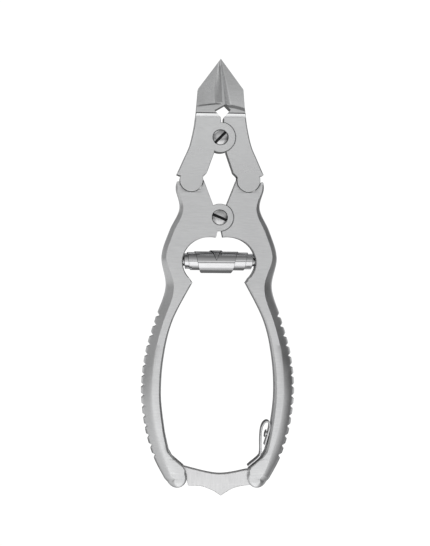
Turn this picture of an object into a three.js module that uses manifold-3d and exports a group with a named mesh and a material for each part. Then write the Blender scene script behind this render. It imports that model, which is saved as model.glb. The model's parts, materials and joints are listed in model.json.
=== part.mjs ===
// Double-action nail nipper with a latch: two handles, two jaws, barrel spring and closing bar.
// Millimetres. +Z runs up to the tip, -Y is the front, and the lowest point of the bar is at Z = 0.
// Outlines are drawn in X and Z from the handle pivot, for the left (-X) side, and are mirrored.
import * as THREE from "three";
import { mergeVertices } from "three/addons/utils/BufferGeometryUtils.js";
import Module from "manifold-3d";

const wasm = await Module();
wasm.setup();

// driving dimensions
const PIVOT_HEIGHT = 97.9; // handle pivot above the lowest point
const JAW_PIVOT = 27.9; // jaw pivot above the handle pivot
const KNOB_X = 10.0; // knob of each jaw tail, from the middle
const KNOB_Z = 13.0; // knob of each jaw tail, above the handle pivot
const KNOB_R = 4.08;
const HEAD_T = 8.0; // thickness at the joints
const FOOT_T = 6.6; // thickness at the feet
const TAPER_FROM = -26; // height at which the handles start to thin
const FOOT_END = -94.9;
const HANDLE_BOSS_R = 4.77;
const JAW_BOSS_R = 5.2;
const LAP_GAP = 0.3; // between parts that slide on each other
const PIN_GAP = 0.15; // round a pin or a stud
const TIP_Z = 55.7;
const GRIND_Z = 35.3; // where the flat jaw plate ends and the ground blade starts
const BLADE_STEP = 0.8; // how far the ground face steps back from the plate
const TIP_T = 2.6; // thickness of the blades at the tip
const SEAM_GAP = 0.3; // between the closed blades
const HOLLOW = { r: 7, x: 0.6, y: 1.35, z: 52 }; // hollow ground along the seam, and its bottom
const SCREW_HEAD_R = 2.6;
const SCREW_HEAD_H = 1.7;
const SCREW_SHANK_R = 1.7;
const SCREW_PROUD = 0.35;
const SCREW_SLOT = { width: 0.85, depth: 1.15 };
const HANDLE_SCREW_TURN = -23; // how the screws' slots lie, in degrees
const JAW_SCREW_TURN = 46;
const NOTCH_COUNT = 15;
const NOTCH_PITCH = 3.62;
const NOTCH_DEPTH = 1.05;
const NOTCH_MOUTH = 2.0;
const NOTCH_FLOOR = 0.6;
const FIRST_NOTCH = 48.5; // from the horn, along the handle's outer edge
const SPRING_Z = -15.6;
const SPRING_R = 4.05; // outer radius of the first turn
const SPRING_T = 0.25; // thickness of the wound sheet
const SPRING_TURNS = 3.5;
const SPRING_START = 0.1; // angle of the pointed start above the front, in radians
const SPRING_MIDDLE = -0.9; // the pointed start, from the middle
const SPRING_HALF = 12.6; // half the spring's length
const SPRING_DROP = 0.52; // radius lost where the second turn goes inside the first
const SPRING_STEP = 0.44; // radius lost in each later turn
const SPRING_RISE = 0.32; // how much higher the inner turns sit
const LEG_W = 7.0; // width of the two legs that the sheet divides into
const LEG_SETTLE = [1.3, 1.9]; // turns in which the left and the right leg move outwards
const STUD_R = 1.5;
const STUD_HEAD = 2.4; // length of a stud inside the spring
const STUD_SHANK = 2.6; // length of a stud inside the handle
const BAR_T = 2.8;
const SLOT_T = 3.2;
const LATCH_PIVOT = { x: 12.6, z: -91.3 };
const HEEL_R = 2.8;
const LATCH_PIN_R = 1.1;
const CATCH_PIN = { x: -13.7, z: -88.6 };
const CATCH_PIN_R = 1.0;
const LEAF_T = 0.6;
const LEAF_W = 4.0;
const RIVET_R = 0.8;
const RIVET_HEAD_R = 1.4;
const RIVET = { x: 18.0, z: -76.2 };
const RIVET_HEAD = [-1.4, -0.85]; // the head's two faces, along the rivet
const RIVET_LENGTH = 3.0; // length inside the handle
const CHEEK_SKIN = 0.7; // front metal left over the blind pin holes

const BACK = HEAD_T / 2;
const FRONT = -HEAD_T / 2;
const FAR = 30; // reach of a cutting tool past the part
const ROUND = 48; // sides of a full circle

// one material for each finish
const steel = (color, roughness) =>
  new THREE.MeshStandardMaterial({ color, roughness, metalness: 1 });
const satinSteel = () => steel(0xc2c3c3, 0.42);
const groundSteel = () => steel(0xb4b5b6, 0.38);
const screwSteel = () => steel(0xa9a9aa, 0.3);
const springSteel = () => steel(0xa2a3a5, 0.24);

// ---- solids -------------------------------------------------------------------------------

// a closed solid from a geometry, with shared corners merged and empty triangles dropped
function solidOf(geometry) {
  const bare = geometry.clone();
  bare.deleteAttribute("normal");
  bare.deleteAttribute("uv");
  const merged = mergeVertices(bare, 1e-4);
  const corners = merged.index.array;
  const triangles = [];
  for (let i = 0; i < corners.length; i += 3) {
    const [a, b, c] = [corners[i], corners[i + 1], corners[i + 2]];
    if (a !== b && b !== c && a !== c) triangles.push(a, b, c);
  }
  const vertProperties = Float32Array.from(merged.attributes.position.array);
  const triVerts = Uint32Array.from(triangles);
  return new wasm.Manifold(new wasm.Mesh({ numProp: 3, vertProperties, triVerts }));
}

function geometryOf(solid) {
  const { vertProperties, triVerts } = solid.getMesh();
  const geometry = new THREE.BufferGeometry();
  geometry.setAttribute("position", new THREE.BufferAttribute(vertProperties, 3));
  geometry.setIndex(new THREE.BufferAttribute(triVerts, 1));
  geometry.computeVertexNormals();
  return geometry;
}

// an outline in X and Z, pushed through from y0 to y1
function prism(points, y0, y1) {
  const shape = new THREE.Shape(points.map((p) => new THREE.Vector2(p.x, p.z)));
  const geometry = new THREE.ExtrudeGeometry(shape, { depth: y1 - y0, bevelEnabled: false });
  geometry.rotateX(Math.PI / 2);
  geometry.translate(0, y1, 0);
  return solidOf(geometry);
}

// a round bar along Y
function disc(radius, x, z, y0, y1, sides = ROUND) {
  const geometry = new THREE.CylinderGeometry(radius, radius, y1 - y0, sides);
  geometry.translate(x, (y0 + y1) / 2, z);
  return solidOf(geometry);
}

// a turned piece about an axis along Y, from [radius, y] pairs with y rising
function turned(profile, x, z) {
  const geometry = new THREE.LatheGeometry(profile.map(([r, y]) => new THREE.Vector2(r, y)), ROUND);
  geometry.translate(x, 0, z);
  return solidOf(geometry);
}

// a solid from rings of equal length; the first and last rings are closed with flat ends
function stack(rings) {
  const count = rings[0].length;
  const positions = rings.flat().flatMap((p) => [p.x, p.y, p.z]);
  const flat = rings[0].map((p) => new THREE.Vector2(p.x, p.z));
  const ends = THREE.ShapeUtils.triangulateShape(flat, []);
  const index = [];
  const last = (rings.length - 1) * count;
  for (const [a, b, c] of ends) {
    index.push(a, b, c);
    index.push(last + a, last + c, last + b);
  }
  for (let ring = 0; ring < rings.length - 1; ring++) {
    for (let i = 0; i < count; i++) {
      const j = (i + 1) % count;
      const [near, far] = [ring * count, (ring + 1) * count];
      index.push(near + i, far + i, far + j);
      index.push(near + i, far + j, near + j);
    }
  }
  const geometry = new THREE.BufferGeometry();
  geometry.setAttribute("position", new THREE.Float32BufferAttribute(positions, 3));
  geometry.setIndex(index);
  return solidOf(geometry);
}

// ---- outlines -----------------------------------------------------------------------------

const at = (x, z) => ({ x, z });
const mirrored = (points) => points.map((p) => ({ ...p, x: -p.x })).reverse();
const distance = (a, b) => Math.hypot(a.x - b.x, a.z - b.z);

// a smooth curve through points given as [x, z]
function through(pairs, steps) {
  const curve = new THREE.SplineCurve(pairs.map(([x, z]) => new THREE.Vector2(x, z)));
  return curve.getSpacedPoints(steps).map((p) => at(p.x, p.y));
}

// part of an ellipse, angles in degrees from +X towards +Z
function arc(x, z, radiusX, radiusZ, from, to, steps) {
  const points = [];
  for (let i = 0; i <= steps; i++) {
    const angle = THREE.MathUtils.degToRad(from + ((to - from) * i) / steps);
    points.push(at(x + radiusX * Math.cos(angle), z + radiusZ * Math.sin(angle)));
  }
  return points;
}

// thickness of a handle at a height
function thickness(z) {
  const share = THREE.MathUtils.clamp((TAPER_FROM - z) / (TAPER_FROM - FOOT_END), 0, 1);
  return THREE.MathUtils.lerp(HEAD_T, FOOT_T, share);
}

// width of the sloping band along a handle's outer edge: it widens from the horn to the grip
function bandWidth(z) {
  const horn = THREE.MathUtils.smoothstep(-z, -11, 2);
  const waist = THREE.MathUtils.smoothstep(-z, 12, 28);
  const grip = THREE.MathUtils.smoothstep(-z, 36, 60);
  const foot = THREE.MathUtils.smoothstep(-z, 82, 92);
  return 0.5 + 1.1 * horn + 1.4 * waist + 1.1 * grip - 1.1 * foot;
}

// how far back the band slopes
const bandDepth = (band) => THREE.MathUtils.clamp(0.75 * band, 0.75, 2.4);

const OUTER_EDGE = [
  [-15.1, 12.2], [-15.3, 9.6], [-14.0, 3.0], [-17.5, -4.8], [-20.2, -14.0], [-18.65, -24.6],
  [-22.3, -36.0], [-25.6, -47.5], [-27.0, -60.0], [-25.7, -73.0], [-22.5, -84.0], [-18.5, -91.8],
];
const INNER_EDGE = [
  [-17.0, -82.0], [-18.6, -74.5], [-19.95, -62.0], [-19.1, -48.7], [-16.1, -36.1], [-9.5, -22.9],
];
const FOOT = { x: -14.2, z: -91.3, r: 3.6, from: 208, to: 385, band: 3.0, endBand: 0.8 };
const BAY = { x: -3.0, radiusX: 9.8, radiusZ: 8.7, from: 227, to: 79.7 };
const SEAT = { r: 3.2, x: 13.0 }; // flat seat of each end of the barrel spring

// the outer edge with its row of notches; cut is how deep the edge is cut at each point
function outerEdge() {
  const curve = new THREE.SplineCurve(OUTER_EDGE.map(([x, z]) => new THREE.Vector2(x, z)));
  const length = curve.getLength();
  const lastNotch = FIRST_NOTCH + (NOTCH_COUNT - 1) * NOTCH_PITCH;
  const [mouth, floor] = [NOTCH_MOUTH / 2, NOTCH_FLOOR / 2];
  const step = 2.2;
  const stops = [];
  for (let along = 0; along < FIRST_NOTCH - 1.5 * mouth; along += step) stops.push([along, 0]);
  for (let notch = 0; notch < NOTCH_COUNT; notch++) {
    const middle = FIRST_NOTCH + notch * NOTCH_PITCH;
    stops.push([middle - mouth, 0], [middle - floor, NOTCH_DEPTH]);
    stops.push([middle + floor, NOTCH_DEPTH], [middle + mouth, 0]);
  }
  for (let along = lastNotch + step; along < length; along += step) stops.push([along, 0]);
  return stops.map(([along, cut]) => {
    const p = curve.getPointAt(along / length);
    return { x: p.x, z: p.y, cut, band: bandWidth(p.y) };
  });
}

// the left handle from its horn, down the outer edge, round the foot and up the inner edge
function handleOutline() {
  const footRound = arc(FOOT.x, FOOT.z, FOOT.r, FOOT.r, FOOT.from, FOOT.to, 10);
  const footBand = (i) =>
    THREE.MathUtils.lerp(FOOT.band, FOOT.endBand, THREE.MathUtils.smoothstep(i, 0, 4));
  return [
    ...outerEdge(),
    ...footRound.map((p, i) => ({ ...p, band: footBand(i) })),
    at(-11.9, -87.5),
    at(-15.8, -84.2),
    ...through(INNER_EDGE, 22),
    ...arc(BAY.x, SPRING_Z, BAY.radiusX, BAY.radiusZ, BAY.from, BAY.to, 18),
    at(-0.75, -4.6),
    at(-2.3, 4.1),
    at(-5.5, 13.1),
    at(-14.2, 12.3),
  ];
}

// the handle's full body: rings from the front face to the back face, with the outer edge sloped
function handleBody(outline) {
  const count = outline.length;
  const inward = outline.map((p, i) => {
    const before = outline[(i + count - 1) % count];
    const after = outline[(i + 1) % count];
    const length = distance(before, after);
    return at((before.z - after.z) / length, (after.x - before.x) / length);
  });
  const ring = (side, inset, depth) =>
    outline.map((p, i) => {
      const band = p.band ?? 0;
      const move = Math.max(band * inset, p.cut ?? 0);
      const x = p.x + inward[i].x * move;
      const z = p.z + inward[i].z * move;
      return { x, y: side * (thickness(z) / 2 - bandDepth(band) * depth), z };
    });
  const levels = [[1, 0], [0.42, 0.33], [0, 1]]; // shares of the band's width and depth
  const front = levels.map(([inset, depth]) => ring(-1, inset, depth));
  const back = levels.map(([inset, depth]) => ring(1, inset, depth)).reverse();
  return stack([...front, ...back]);
}

// ---- cuts and bosses ----------------------------------------------------------------------

// a round bar along X
function crossBar(radius, x0, x1, z, sides = 32) {
  const geometry = new THREE.CylinderGeometry(radius, radius, x1 - x0, sides);
  geometry.rotateZ(Math.PI / 2);
  geometry.translate((x0 + x1) / 2, 0, z);
  return solidOf(geometry);
}

// an outline in Y and Z, pushed through from x0 to x1
function crossPrism(pairs, x0, x1) {
  const shape = new THREE.Shape(pairs.map(([y, z]) => new THREE.Vector2(y, z)));
  const geometry = new THREE.ExtrudeGeometry(shape, { depth: x1 - x0, bevelEnabled: false });
  geometry.rotateY(Math.PI / 2);
  geometry.rotateX(Math.PI / 2);
  geometry.translate(x0, 0, 0);
  return solidOf(geometry);
}

// the left piece of a lap joint keeps its boss in front, the right piece behind
function lapped(body, side, bossR, z) {
  const half = LAP_GAP / 2;
  const recess = side < 0 ? [-half, FAR] : [-FAR, half];
  const boss = side < 0 ? [FRONT, -half] : [half, BACK];
  return body
    .subtract(disc(bossR + LAP_GAP, 0, z, ...recess))
    .add(disc(bossR, 0, z, ...boss))
    .subtract(disc(SCREW_SHANK_R + PIN_GAP, 0, z, -FAR, FAR));
}

const counterbore = (z) =>
  disc(SCREW_HEAD_R + PIN_GAP, 0, z, -FAR, FRONT + SCREW_HEAD_H + PIN_GAP);

// flat seat and blind hole in the handle for one end of the barrel spring and its stud
function springSeat(side) {
  const reach = SEAT.x + STUD_SHANK + PIN_GAP;
  const seat = crossBar(SEAT.r, 6, SEAT.x, SPRING_Z);
  const hole = crossBar(STUD_R + PIN_GAP, 6, reach, SPRING_Z);
  const cut = seat.add(hole);
  return side < 0 ? cut.mirror([1, 0, 0]) : cut;
}

// blind hole for a pin put in from the back of a foot
const pinHole = (radius, pin) =>
  disc(radius + PIN_GAP, pin.x, pin.z, -FOOT_T / 2 + CHEEK_SKIN, FAR, 32);

function catchSlot() {
  const points = [at(-16.8, -99), at(-5, -99), at(-5, -85), at(-15, -85), at(-16.8, -87)];
  return prism(points, -SLOT_T / 2, SLOT_T / 2);
}

function pivotSlot() {
  const wall = LATCH_PIVOT.x + HEEL_R + 0.7;
  const roof = LATCH_PIVOT.z + HEEL_R + 0.5;
  const points = [at(5, -99), at(wall, -99), at(wall, roof - 2), at(wall - 2, roof), at(5, roof)];
  return prism(points, -SLOT_T / 2, SLOT_T / 2);
}

function leftHandle() {
  const body = handleBody(handleOutline()).subtract(
    disc(KNOB_R + LAP_GAP, -KNOB_X, KNOB_Z, -FAR, FAR),
  );
  return lapped(body, -1, HANDLE_BOSS_R, 0)
    .subtract(counterbore(0))
    .subtract(springSeat(-1))
    .subtract(catchSlot())
    .subtract(pinHole(CATCH_PIN_R, CATCH_PIN));
}

function rightHandle() {
  const body = handleBody(mirrored(handleOutline())).subtract(
    disc(KNOB_R + LAP_GAP, KNOB_X, KNOB_Z, -FAR, FAR),
  );
  return lapped(body, 1, HANDLE_BOSS_R, 0)
    .subtract(springSeat(1))
    .subtract(pivotSlot())
    .subtract(pinHole(LATCH_PIN_R, LATCH_PIVOT))
    .subtract(alongRivet(RIVET_R + PIN_GAP, -0.5, RIVET_LENGTH + 0.2));
}

// ---- jaws ---------------------------------------------------------------------------------

const SHOULDER = at(-7.95, 44.8);
const JAW_EDGE = [[-8.75, 35.5], [-9.4, 31.0], [-10.8, 25.0], [-12.8, 20.3], [-15.2, 14.9]];
// the closed edges lean to the right going down, and open into a diamond and a narrow slot
const DIAMOND = {
  top: at(1.3, 39.1),
  left: at(-1.7, 37.1),
  right: at(3.15, 37.4),
  neckZ: 34.8,
  footZ: 32.9,
  slot: [0.05, 1.05],
};

// the outer edge, spur, knob and inner edge, the same for both jaws
function jawTail() {
  return [
    SHOULDER,
    at(-8.55, 37.0),
    ...through(JAW_EDGE, 8),
    at(-13.8, 14.4),
    ...arc(-KNOB_X, KNOB_Z, KNOB_R, KNOB_R, 164, 374, 30),
    at(-4.6, 15.6),
    at(-2.1, 22.7),
  ];
}

function jawOutline(side) {
  const { top, left, right, neckZ, footZ, slot } = DIAMOND;
  const half = (side * SEAM_GAP) / 2;
  const slotX = side < 0 ? slot[0] : slot[1];
  const corner = side < 0 ? left : right;
  const neck = [at(slotX, footZ), at(slotX, neckZ), corner];
  const edges = [...neck, at(top.x + half, top.z), at(half, TIP_Z)];
  return side < 0 ? [...jawTail(), ...edges] : [...mirrored(jawTail()), ...edges.reverse()];
}

// the wedge of metal ground off the front and the back of the blades, and the hollow at the seam
function bladeGrind() {
  const tip = TIP_T / 2;
  const plate = BACK;
  const above = TIP_Z + 5;
  const stepped = plate - BLADE_STEP;
  const front = [[-FAR, GRIND_Z], [-stepped, GRIND_Z], [-tip, TIP_Z], [-tip, above], [-FAR, above]];
  const back = [[FAR, GRIND_Z], [FAR, above], [tip, above], [tip, TIP_Z], [plate, GRIND_Z]];
  const tilt = Math.atan2(stepped - tip, TIP_Z - GRIND_Z);
  const wheel = new THREE.CylinderGeometry(HOLLOW.r, HOLLOW.r, 30, 64);
  wheel.rotateX(Math.PI / 2 - tilt);
  wheel.translate(HOLLOW.x, -HOLLOW.r - HOLLOW.y, HOLLOW.z);
  return crossPrism(front, -FAR, FAR).add(crossPrism(back, -FAR, FAR)).add(solidOf(wheel));
}

function jaw(side) {
  const body = prism(jawOutline(side), FRONT, BACK).subtract(bladeGrind());
  const lap = lapped(body, side, JAW_BOSS_R, JAW_PIVOT);
  return side < 0 ? lap.subtract(counterbore(JAW_PIVOT)) : lap;
}

// ---- small pieces -------------------------------------------------------------------------

// slotted screw with a low domed head in front and its end filed flush behind
function pivotScrew(z, slotAngle) {
  const headTop = FRONT - SCREW_PROUD;
  const profile = [
    [0, headTop], [1.2, headTop + 0.04], [2.1, headTop + 0.16], [SCREW_HEAD_R, FRONT + 0.1],
    [SCREW_HEAD_R, FRONT + SCREW_HEAD_H], [SCREW_SHANK_R, FRONT + SCREW_HEAD_H],
    [SCREW_SHANK_R, BACK + SCREW_PROUD - 0.2], [SCREW_SHANK_R - 0.3, BACK + SCREW_PROUD],
    [0, BACK + SCREW_PROUD],
  ];
  const slot = new THREE.BoxGeometry(8, 2 * SCREW_SLOT.depth, SCREW_SLOT.width);
  slot.rotateY(-THREE.MathUtils.degToRad(slotAngle));
  slot.translate(0, headTop, z);
  return turned(profile, 0, z).subtract(solidOf(slot));
}

// half of the barrel spring: the sheet starts in a point, widens as it is wound inwards, and
// then runs on as a leg that moves out to the handle turn by turn
function springLeg(side) {
  const perTurn = 22;
  const steps = SPRING_TURNS * perTurn;
  const settle = side < 0 ? LEG_SETTLE[0] : LEG_SETTLE[1];
  const full = SPRING_HALF - side * SPRING_MIDDLE;
  const moved = (turns) => 1 - Math.exp(-turns / settle);
  const overlap = 0.02;
  const positions = [];
  const index = [];
  for (let i = 0; i <= steps; i++) {
    const turns = Math.max(i, 0.5) / perTurn;
    const angle = SPRING_START + 2 * Math.PI * turns;
    const drop = SPRING_DROP * THREE.MathUtils.smoothstep(turns, 0.6, 1.2);
    const outer = SPRING_R - drop - SPRING_STEP * Math.max(0, turns - 1.2);
    const rise = SPRING_RISE * THREE.MathUtils.smoothstep(turns, 0.9, 1.6);
    const out = (full * moved(turns)) / moved(SPRING_TURNS);
    const near = Math.max(out - LEG_W, -overlap);
    const [x0, x1] = side < 0 ? [-out, -near] : [near, out];
    for (const [r, x] of [[outer, x0], [outer, x1], [outer - SPRING_T, x1], [outer - SPRING_T, x0]]) {
      positions.push(SPRING_MIDDLE + x, -r * Math.cos(angle), SPRING_Z + rise + r * Math.sin(angle));
    }
  }
  for (let i = 0; i < steps; i++) {
    for (let k = 0; k < 4; k++) {
      const [a, b] = [4 * i + k, 4 * i + ((k + 1) % 4)];
      index.push(a, b, b + 4, a, b + 4, a + 4);
    }
  }
  const last = 4 * steps;
  index.push(0, 2, 1, 0, 3, 2, last, last + 1, last + 2, last, last + 2, last + 3);
  const geometry = new THREE.BufferGeometry();
  geometry.setAttribute("position", new THREE.Float32BufferAttribute(positions, 3));
  geometry.setIndex(index);
  return solidOf(geometry);
}

const barrelSpring = () => springLeg(-1).add(springLeg(1));

const springStud = (side) => {
  const stud = crossBar(STUD_R, SEAT.x - STUD_HEAD, SEAT.x + STUD_SHANK, SPRING_Z);
  return side < 0 ? stud.mirror([1, 0, 0]) : stud;
};

const footPin = (radius, pin) =>
  disc(radius, pin.x, pin.z, -FOOT_T / 2 + CHEEK_SKIN + PIN_GAP, FOOT_T / 2 - 0.1, 32);

// the bar that ties the feet together: round heel, pointed lower edge and a tang for the catch
function latchBar() {
  const heel = arc(LATCH_PIVOT.x, LATCH_PIVOT.z, HEEL_R, HEEL_R, -90, 90, 16);
  const cradle = arc(CATCH_PIN.x, CATCH_PIN.z, 1.3, 1.3, 0, -90, 6);
  const outline = [
    ...heel,
    ...through([[10.4, -88.75], [0.2, -90.2], [-12.1, -87.5]], 14),
    ...cradle,
    at(-15.7, -89.75),
    at(-15.8, -91.0),
    at(-15.2, -91.8),
    at(-10.75, -92.0),
    at(-10.1, -94.4),
    ...through([[-5.6, -94.6], [-1.3, -96.2], [1.4, -97.9]], 5),
    ...through([[5.1, -95.6], [8.3, -94.6], [11.2, -94.2]], 5),
  ];
  const pivot = disc(LATCH_PIN_R + PIN_GAP, LATCH_PIVOT.x, LATCH_PIVOT.z, -FAR, FAR, 32);
  return prism(outline, -BAR_T / 2, BAR_T / 2).subtract(pivot);
}

// a round bar along the rivet, from one distance to another out of the bay side of the handle
function alongRivet(radius, from, to) {
  const outward = new THREE.Vector3(0.975, 0, -0.22);
  const geometry = new THREE.CylinderGeometry(radius, radius, to - from, 24);
  geometry.translate(0, (from + to) / 2, 0);
  geometry.applyQuaternion(
    new THREE.Quaternion().setFromUnitVectors(new THREE.Vector3(0, 1, 0), outward.normalize()),
  );
  geometry.translate(RIVET.x, 0, RIVET.z);
  return solidOf(geometry);
}

// a leaf bent into a drop: riveted inside the right grip, its free end on the bar's heel
function latchSpring() {
  const path = through(
    [
      [10.3, -88.0], [11.6, -86.75], [14.6, -84.2], [15.3, -82.6], [15.1, -78.2], [15.4, -74.8],
      [16.3, -72.4], [17.5, -71.5], [18.15, -72.6], [17.95, -74.6], [17.5, -77.2], [16.95, -79.5],
    ],
    48,
  );
  const side = (sign) =>
    path.map((p, i) => {
      const before = path[Math.max(0, i - 1)];
      const after = path[Math.min(path.length - 1, i + 1)];
      const length = distance(before, after);
      const half = (sign * LEAF_T) / 2 / length;
      return at(p.x + half * (after.z - before.z), p.z - half * (after.x - before.x));
    });
  const hole = alongRivet(RIVET_R + PIN_GAP, RIVET_HEAD[1], RIVET_LENGTH);
  return prism([...side(1), ...side(-1).reverse()], -LEAF_W / 2, LEAF_W / 2).subtract(hole);
}

const latchRivet = () =>
  alongRivet(RIVET_R, RIVET_HEAD[0], RIVET_LENGTH).add(alongRivet(RIVET_HEAD_R, ...RIVET_HEAD));

// ---- the assembly -------------------------------------------------------------------------

const group = new THREE.Group();
group.position.z = PIVOT_HEIGHT;

function place(name, solid, material) {
  const mesh = new THREE.Mesh(geometryOf(solid), material);
  mesh.name = name;
  group.add(mesh);
}

place("handle_left", leftHandle(), satinSteel());
place("handle_right", rightHandle(), satinSteel());
place("jaw_left", jaw(-1), groundSteel());
place("jaw_right", jaw(1), groundSteel());
place("handle_pivot_screw", pivotScrew(0, HANDLE_SCREW_TURN), screwSteel());
place("jaw_pivot_screw", pivotScrew(JAW_PIVOT, JAW_SCREW_TURN), screwSteel());
place("barrel_spring", barrelSpring(), springSteel());
place("spring_stud_left", springStud(-1), screwSteel());
place("spring_stud_right", springStud(1), screwSteel());
place("latch_bar", latchBar(), satinSteel());
place("latch_pivot_pin", footPin(LATCH_PIN_R, LATCH_PIVOT), screwSteel());
place("catch_pin", footPin(CATCH_PIN_R, CATCH_PIN), screwSteel());
place("latch_spring", latchSpring(), springSteel());
place("latch_spring_rivet", latchRivet(), screwSteel());

export default group;
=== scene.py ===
"""Double-action nail nipper: fine meshes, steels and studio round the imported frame.

Outlines are drawn in millimetres from the handle pivot, in X (right) and Z (up). -Y is the
front. Where a piece comes in pairs, side is -1 for the left one and 1 for the right one.
"""
import json
import math

import bmesh
import bpy
import numpy as np
from mathutils import Matrix, Vector
from mathutils.geometry import tessellate_polygon


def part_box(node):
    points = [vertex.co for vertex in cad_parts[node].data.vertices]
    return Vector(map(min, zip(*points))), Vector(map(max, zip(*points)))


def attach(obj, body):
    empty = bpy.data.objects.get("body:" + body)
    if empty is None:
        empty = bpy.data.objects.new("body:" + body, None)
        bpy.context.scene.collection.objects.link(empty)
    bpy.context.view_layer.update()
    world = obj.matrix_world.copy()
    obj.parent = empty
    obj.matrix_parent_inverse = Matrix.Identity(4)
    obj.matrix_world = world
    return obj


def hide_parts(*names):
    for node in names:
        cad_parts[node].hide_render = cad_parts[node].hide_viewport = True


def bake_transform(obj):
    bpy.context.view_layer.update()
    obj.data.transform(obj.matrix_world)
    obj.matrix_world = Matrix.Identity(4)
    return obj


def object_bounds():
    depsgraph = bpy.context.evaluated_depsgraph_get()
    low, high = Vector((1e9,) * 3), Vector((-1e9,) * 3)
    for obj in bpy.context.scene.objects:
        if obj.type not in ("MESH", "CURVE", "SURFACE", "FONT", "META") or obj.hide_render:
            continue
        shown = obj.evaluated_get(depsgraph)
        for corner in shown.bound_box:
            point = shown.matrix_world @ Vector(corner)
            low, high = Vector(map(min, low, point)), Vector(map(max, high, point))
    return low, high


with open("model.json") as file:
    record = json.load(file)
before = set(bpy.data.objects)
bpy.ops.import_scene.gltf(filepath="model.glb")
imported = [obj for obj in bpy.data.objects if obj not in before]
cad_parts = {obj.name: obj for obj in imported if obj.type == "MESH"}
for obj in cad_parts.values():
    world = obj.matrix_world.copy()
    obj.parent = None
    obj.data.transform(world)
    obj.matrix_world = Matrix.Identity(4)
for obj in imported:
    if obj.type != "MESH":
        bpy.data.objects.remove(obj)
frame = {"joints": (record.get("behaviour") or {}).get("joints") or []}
cad_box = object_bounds()

# ---- places taken from the frame ------------------------------------------------------------

MM = 0.001
HINGES = {joint["name"]: np.array(joint["pos_m"]) for joint in frame["joints"]}
PIVOT = HINGES["handle_hinge"]


def from_pivot(name):
    """A hinge's place in millimetres from the handle pivot."""
    return (HINGES[name] - PIVOT) / MM


JAW_PIVOT = from_pivot("jaw_hinge")[2]
KNOB_X, _, KNOB_Z = -from_pivot("left_knob") * [1, 1, -1]
LATCH_X, _, LATCH_Z = from_pivot("latch_hinge")
HEAD_T = np.ptp(np.array(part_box("handle_left"))[:, 1]) / MM  # thickness of the handles' heads
BACK = HEAD_T / 2
FRONT = -BACK
SPRING_BOX = (np.array(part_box("barrel_spring")) - PIVOT) / MM
SPRING_Z = SPRING_BOX[:, 2].mean()
SPRING_HALF = SPRING_BOX[1, 0]
TIP_Z = (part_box("jaw_left")[1][2] - PIVOT[2]) / MM
FOOT_END = (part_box("handle_left")[0][2] - PIVOT[2]) / MM

# ---- driving sizes, in millimetres ----------------------------------------------------------

FOOT_T = 6.6  # thickness of the feet
TAPER_FROM = -26.0  # height at which the handles start to thin down to the feet
KNOB_R = 4.08  # the round tails of the jaws
HANDLE_BOSS_R = 4.77
JAW_BOSS_R = 5.2
LAP_GAP = 0.04  # between the two halves of a lap joint
SEAM = 0.14  # visible gap between pieces that slide on each other
EDGE_BREAK = 0.16  # small chamfer on machined edges
OUTSIDE = 9.0  # a depth well clear of every piece, for cutting tools
SCREW_R = 2.6  # head of the pivot screws
SCREW_SHANK = 1.7
BORE_R = 1.75  # hole for the shank
SCREW_PROUD = 0.35  # how far the head stands out of its counterbore
SCREW_HEAD = 1.7  # depth of the head in the counterbore
DOME_RISE = 0.56  # how fast the head's dome falls away from its middle
SCREW_SLOT = 0.95  # width of the slot
SLOT_DEPTH = 0.9  # floor of the slot below the jaw's or handle's face
SCREW_TURN = {"handle_screw": -23, "jaw_screw": 46}  # how the slots lie, in degrees
FOOT_SLOT = 3.0  # width of the slots in the feet, across the bar
BAR_T = 2.8
HEEL_R = 2.8  # round heel of the closing bar
CATCH = (-13.7, -88.6)
CATCH_R = 1.0
PIN_R = 1.1  # the pin that the closing bar turns on

# ---- curves ---------------------------------------------------------------------------------


def resample(points, step):
    """The same line with points a step apart."""
    gaps = np.linalg.norm(np.diff(points, axis=0), axis=1)
    along = np.concatenate([[0], np.cumsum(gaps)])
    stops = np.linspace(0, along[-1], max(2, math.ceil(along[-1] / step) + 1))
    return np.column_stack([np.interp(stops, along, column) for column in points.T])


def spline(points, step):
    """A smooth line through the points."""
    p = np.array(points, float)
    before = np.vstack([p[:1], p[:-2]])
    after = np.vstack([p[2:], p[-1:]])
    t = np.linspace(0, 1, 60)[:, None]
    stretches = []
    for p0, p1, p2, p3 in zip(before, p[:-1], p[1:], after):
        v0 = (p2 - p0) / 2
        v1 = (p3 - p1) / 2
        cubic = 2 * p1 - 2 * p2 + v0 + v1
        square = 3 * p2 - 3 * p1 - 2 * v0 - v1
        stretches.append(cubic * t**3 + square * t**2 + v0 * t + p1)
    return resample(np.vstack(stretches), step)


def line(points, step=1.0):
    """Straight stretches, each with points a step apart."""
    p = np.array(points, float)
    return np.vstack([resample(p[i : i + 2], step) for i in range(len(p) - 1)])


def arc(x, z, radius, start, end, step=0.35, tall=None):
    """Part of a circle or an ellipse, angles in degrees from +X towards +Z."""
    count = max(3, math.ceil(math.radians(abs(end - start)) * radius / step))
    angle = np.radians(np.linspace(start, end, count + 1))
    return np.column_stack([x + radius * np.cos(angle), z + (tall or radius) * np.sin(angle)])


def edge(points, band=EDGE_BREAK, drop=EDGE_BREAK, fullness=0.5, cut=0.0):
    """A stretch of outline and its edge: how wide and deep it slopes, how round, how deeply notched."""
    n = len(points)
    columns = [np.broadcast_to(value, n) for value in (band, drop, fullness, cut)]
    return np.column_stack([points, *columns])


def outline_of(*stretches):
    """One closed outline from stretches, without doubled points."""
    joined = np.vstack(stretches)
    gap = np.linalg.norm(joined[:, :2] - np.roll(joined[:, :2], 1, axis=0), axis=1)
    return joined[gap > 1e-3]


def mirrored(outline):
    """The right side's outline, in the same sense of rotation."""
    flipped = outline[::-1].copy()
    flipped[:, 0] *= -1
    return flipped


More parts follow.
